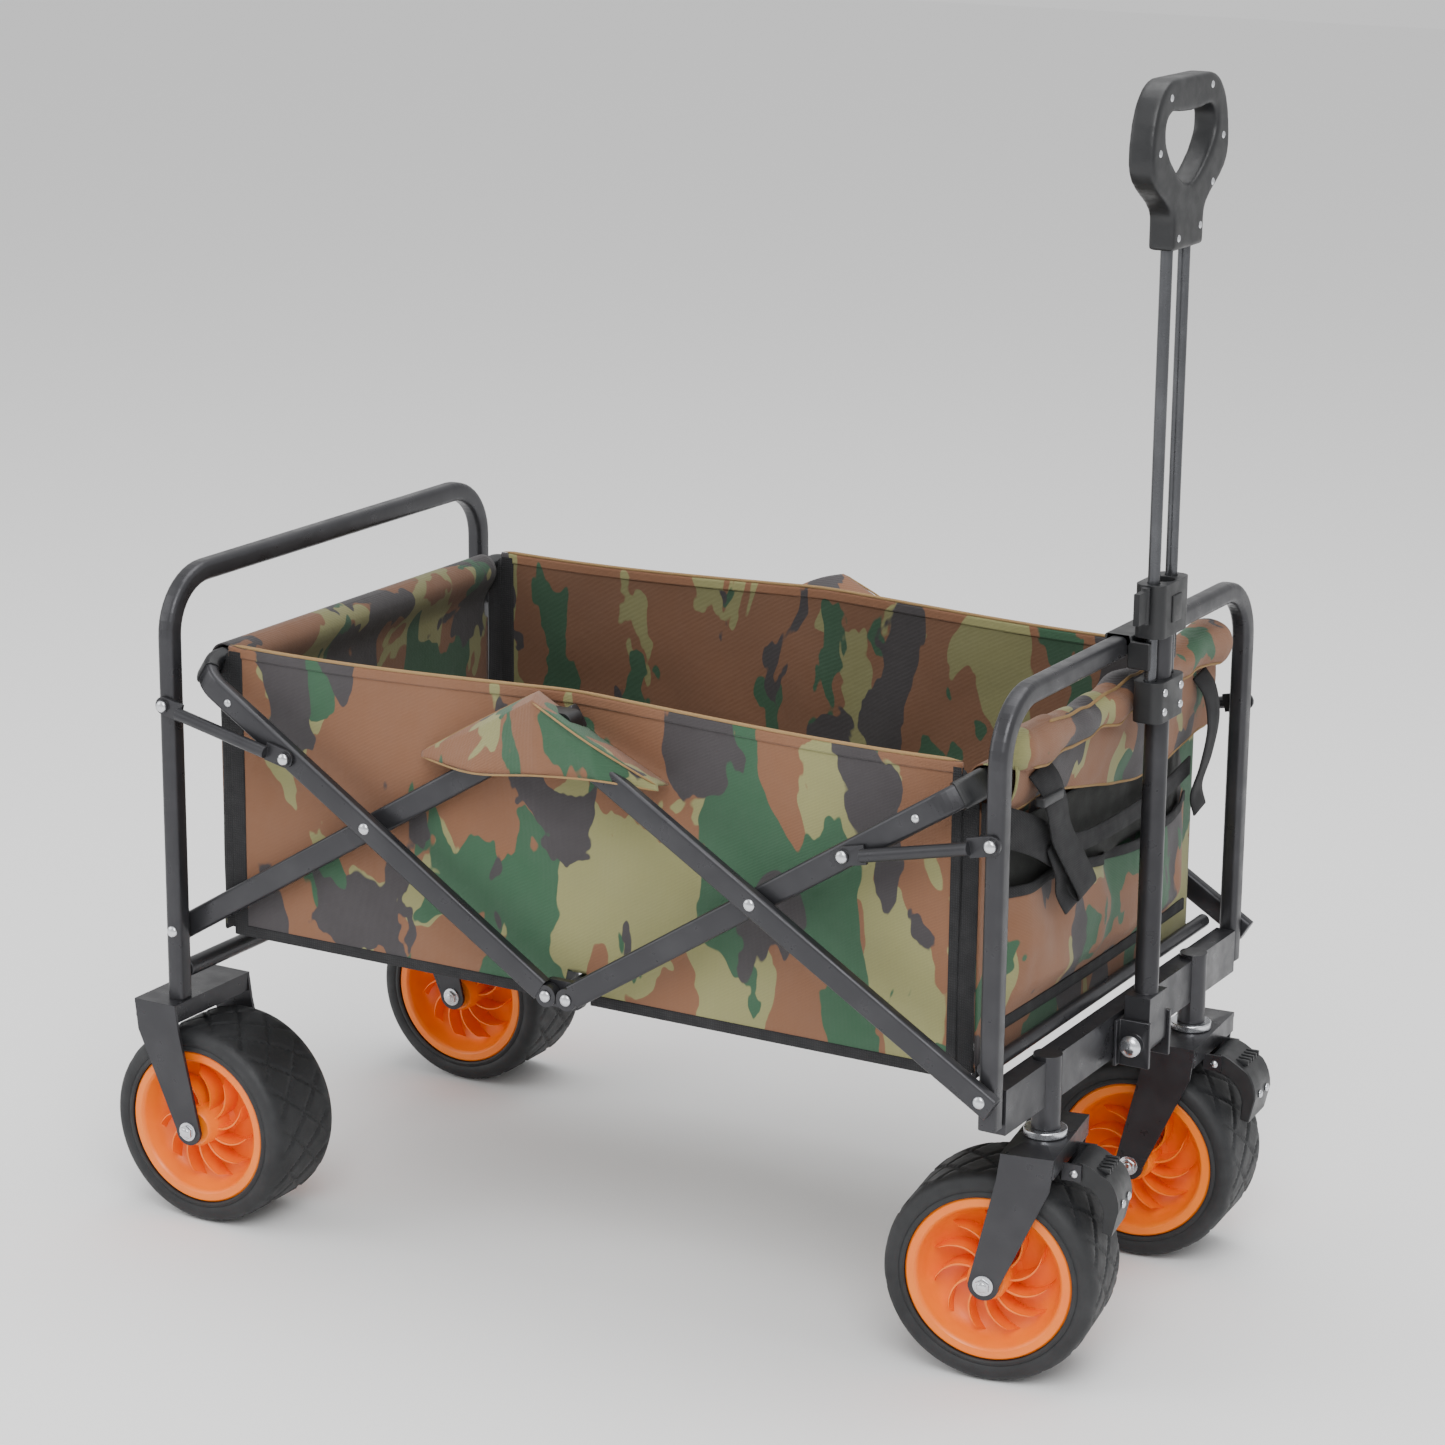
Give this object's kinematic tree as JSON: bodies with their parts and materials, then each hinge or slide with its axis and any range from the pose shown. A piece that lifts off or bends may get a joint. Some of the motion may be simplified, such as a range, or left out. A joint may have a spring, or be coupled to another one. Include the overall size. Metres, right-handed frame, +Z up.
{
  "type": "folding wagon with pull handle",
  "caption": "Folding fabric garden wagon with scissor side frames, swivelling front casters, fixed rear wheels and a telescopic pull handle.",
  "frame": {"origin": "middle of the footprint, on the ground", "axes": "+X forward to the pull handle, +Y to the wagon's left, +Z up"},
  "size_m": [0.9362, 0.5406, 1.04],
  "materials": {
    "frame_metal": "satin",
    "zinc": "satin",
    "rod_metal": "satin",
    "tyre": "matte",
    "rim": "gloss",
    "black_plastic": "matte",
    "camouflage_fabric": "matte"
  },
  "bodies": {
    "rear_frame": {"rear_frame_hoop": "frame_metal", "rear_lower_bar": "frame_metal", "rear_fork_left": "frame_metal", "rear_axle_left": "zinc", "rear_fork_right": "frame_metal", "rear_axle_right": "zinc"},
    "rear_wheel_left": {"rear_tyre_left": "tyre", "rear_rim_left": "rim"},
    "rear_wheel_right": {"rear_tyre_right": "tyre", "rear_rim_right": "rim"},
    "rear_arms": {"rear_arm_left": "frame_metal", "rear_arm_right": "frame_metal", "rear_arm_tie": "frame_metal"},
    "front_arms": {"front_arm_left": "frame_metal", "front_arm_right": "frame_metal", "front_arm_tie": "frame_metal"},
    "front_frame": {"front_frame_hoop": "frame_metal", "front_cross_beam": "frame_metal", "caster_bearing_left": "zinc", "caster_bearing_right": "zinc", "handle_bracket": "frame_metal", "handle_clip": "black_plastic"},
    "caster_left": {"caster_fork_left": "frame_metal", "front_axle_left": "zinc"},
    "caster_right": {"caster_fork_right": "frame_metal", "front_axle_right": "zinc"},
    "front_wheel_left": {"front_tyre_left": "tyre", "front_rim_left": "rim"},
    "front_wheel_right": {"front_tyre_right": "tyre", "front_rim_right": "rim"},
    "brake_left": {"brake_pedal_left": "black_plastic"},
    "brake_right": {"brake_pedal_right": "black_plastic"},
    "handle": {"handle_tube": "frame_metal", "handle_collar": "black_plastic"},
    "lock_lever": {"handle_lock_lever": "black_plastic"},
    "handle_slide": {"handle_slider": "black_plastic", "handle_rod_left": "rod_metal", "handle_rod_right": "rod_metal", "grip_front": "black_plastic", "grip_rear": "black_plastic"},
    "rear_top": {"rear_top_tube": "frame_metal"},
    "front_top": {"front_top_tube": "frame_metal"},
    "centre": {"centre_tube": "frame_metal", "floor_panel_centre": "camouflage_fabric"},
    "top_joints": {"top_joint_left": "black_plastic", "top_joint_right": "black_plastic", "side_wall_left": "camouflage_fabric", "side_wall_right": "camouflage_fabric", "side_flap_left": "camouflage_fabric", "side_flap_right": "camouflage_fabric"},
    "rear_wall": {"rear_wall": "camouflage_fabric"},
    "front_wall": {"front_wall": "camouflage_fabric", "front_pockets": "camouflage_fabric", "front_roll": "camouflage_fabric"},
    "floor_rear": {"floor_panel_rear": "camouflage_fabric"},
    "floor_front": {"floor_panel_front": "camouflage_fabric"},
    "rear_links": {"rear_link_left": "frame_metal", "rear_link_right": "frame_metal"},
    "front_links": {"front_link_left": "frame_metal", "front_link_right": "frame_metal"}
  },
  "joints": [
    {"name": "fold", "type": "hinge", "parent": "rear_frame", "child": "rear_arms", "pos_m": [-0.4006, 0, 0.268], "axis": [0, -1, 0], "range_deg": [0, 43.5], "deforming": ["side_wall_left", "side_wall_right", "side_flap_left", "side_flap_right", "front_pockets", "front_roll"]},
    {"name": "front_arms_turn", "type": "hinge", "parent": "rear_arms", "child": "front_arms", "pos_m": [-0.00411, 0, 0.51098], "axis": [0, -1, 0], "range_deg": [-87, 0]},
    {"name": "front_frame_level", "type": "hinge", "parent": "front_arms", "child": "front_frame", "pos_m": [0.39239, 0, 0.268], "axis": [0, -1, 0], "range_deg": [0, 43.5]},
    {"name": "rear_top_turn", "type": "hinge", "parent": "rear_arms", "child": "rear_top", "pos_m": [-0.1941, 0, 0.39454], "axis": [0, -1, 0], "range_deg": [-87.7, 0]},
    {"name": "front_top_turn", "type": "hinge", "parent": "front_arms", "child": "front_top", "pos_m": [0.1859, 0, 0.39454], "axis": [0, -1, 0], "range_deg": [0, 87.7]},
    {"name": "centre_level", "type": "hinge", "parent": "rear_top", "child": "centre", "pos_m": [-0.0141, 0, 0.2781], "axis": [0, -1, 0], "range_deg": [0, 44.2]},
    {"name": "top_joint_level", "type": "hinge", "parent": "rear_arms", "child": "top_joints", "pos_m": [-0.00411, 0, 0.51098], "axis": [0, -1, 0], "range_deg": [-43.5, 0]},
    {"name": "rear_wall_level", "type": "hinge", "parent": "rear_top", "child": "rear_wall", "pos_m": [-0.37061, 0, 0.50873], "axis": [0, -1, 0], "range_deg": [0, 44.2]},
    {"name": "front_wall_level", "type": "hinge", "parent": "front_top", "child": "front_wall", "pos_m": [0.3624, 0, 0.50873], "axis": [0, -1, 0], "range_deg": [-44.2, 0]},
    {"name": "floor_rear_lift", "type": "hinge", "parent": "rear_wall", "child": "floor_rear", "pos_m": [-0.36661, 0, 0.29], "axis": [0, -1, 0], "range_deg": [0, 80.48]},
    {"name": "floor_front_lift", "type": "hinge", "parent": "front_wall", "child": "floor_front", "pos_m": [0.3584, 0, 0.29], "axis": [0, -1, 0], "range_deg": [-80.48, 0]},
    {"name": "rear_links_turn", "type": "hinge", "parent": "rear_frame", "child": "rear_links", "pos_m": [-0.4006, 0, 0.474], "axis": [0, -1, 0], "range_deg": [0, 81.87]},
    {"name": "front_links_turn", "type": "hinge", "parent": "front_frame", "child": "front_links", "pos_m": [0.39239, 0, 0.474], "axis": [0, -1, 0], "range_deg": [-81.87, 0]},
    {"name": "rear_wheel_left_spin", "type": "hinge", "parent": "rear_frame", "child": "rear_wheel_left", "pos_m": [-0.37861, 0.21, 0.09], "axis": [0, 1, 0], "continuous": true},
    {"name": "rear_wheel_right_spin", "type": "hinge", "parent": "rear_frame", "child": "rear_wheel_right", "pos_m": [-0.37861, -0.21, 0.09], "axis": [0, 1, 0], "continuous": true},
    {"name": "caster_left_swivel", "type": "hinge", "parent": "front_frame", "child": "caster_left", "pos_m": [0.39739, 0.148, 0.208], "axis": [0, 0, 1], "continuous": true},
    {"name": "front_wheel_left_spin", "type": "hinge", "parent": "caster_left", "child": "front_wheel_left", "pos_m": [0.36449, 0.14553, 0.09], "axis": [-0.075, 0.9972, 0], "continuous": true},
    {"name": "brake_left_turn", "type": "hinge", "parent": "caster_left", "child": "brake_left", "pos_m": [0.42831, 0.15032, 0.184], "axis": [-0.075, 0.9972, 0], "range_deg": [0, 8]},
    {"name": "caster_right_swivel", "type": "hinge", "parent": "front_frame", "child": "caster_right", "pos_m": [0.39739, -0.148, 0.208], "axis": [0, 0, 1], "continuous": true},
    {"name": "front_wheel_right_spin", "type": "hinge", "parent": "caster_right", "child": "front_wheel_right", "pos_m": [0.36486, -0.1535, 0.09], "axis": [-0.1668, 0.986, 0], "continuous": true},
    {"name": "brake_right_turn", "type": "hinge", "parent": "caster_right", "child": "brake_right", "pos_m": [0.42796, -0.14283, 0.184], "axis": [-0.1668, 0.986, 0], "range_deg": [0, 8]},
    {"name": "handle_tilt", "type": "hinge", "parent": "front_frame", "child": "handle", "pos_m": [0.4174, 0, 0.246], "axis": [0, 1, 0], "range_deg": [0, 100]},
    {"name": "handle_slide", "type": "slide", "parent": "handle", "child": "handle_slide", "axis": [0, 0, 1], "range_m": [-0.232, 0]},
    {"name": "lock_lever_turn", "type": "hinge", "parent": "handle", "child": "lock_lever", "pos_m": [0.4174, -0.0328, 0.621], "axis": [0, 0, -1], "range_deg": [0, 15], "stiffness_Nm_per_rad": 0.05}
  ],
  "couplings": [
    {"joint": "front_arms_turn", "follows": "fold", "ratio": -2},
    {"joint": "front_frame_level", "follows": "fold", "ratio": 1},
    {"joint": "rear_top_turn", "follows": "fold", "ratio": -2.016},
    {"joint": "front_top_turn", "follows": "fold", "ratio": 2.016},
    {"joint": "centre_level", "follows": "fold", "ratio": 1.016},
    {"joint": "top_joint_level", "follows": "fold", "ratio": -1},
    {"joint": "rear_wall_level", "follows": "fold", "ratio": 1.016},
    {"joint": "front_wall_level", "follows": "fold", "ratio": -1.016},
    {"joint": "floor_rear_lift", "follows": "fold", "ratio": 1.85},
    {"joint": "floor_front_lift", "follows": "fold", "ratio": -1.85},
    {"joint": "rear_links_turn", "follows": "fold", "ratio": 1.882},
    {"joint": "front_links_turn", "follows": "fold", "ratio": -1.882}
  ]
}
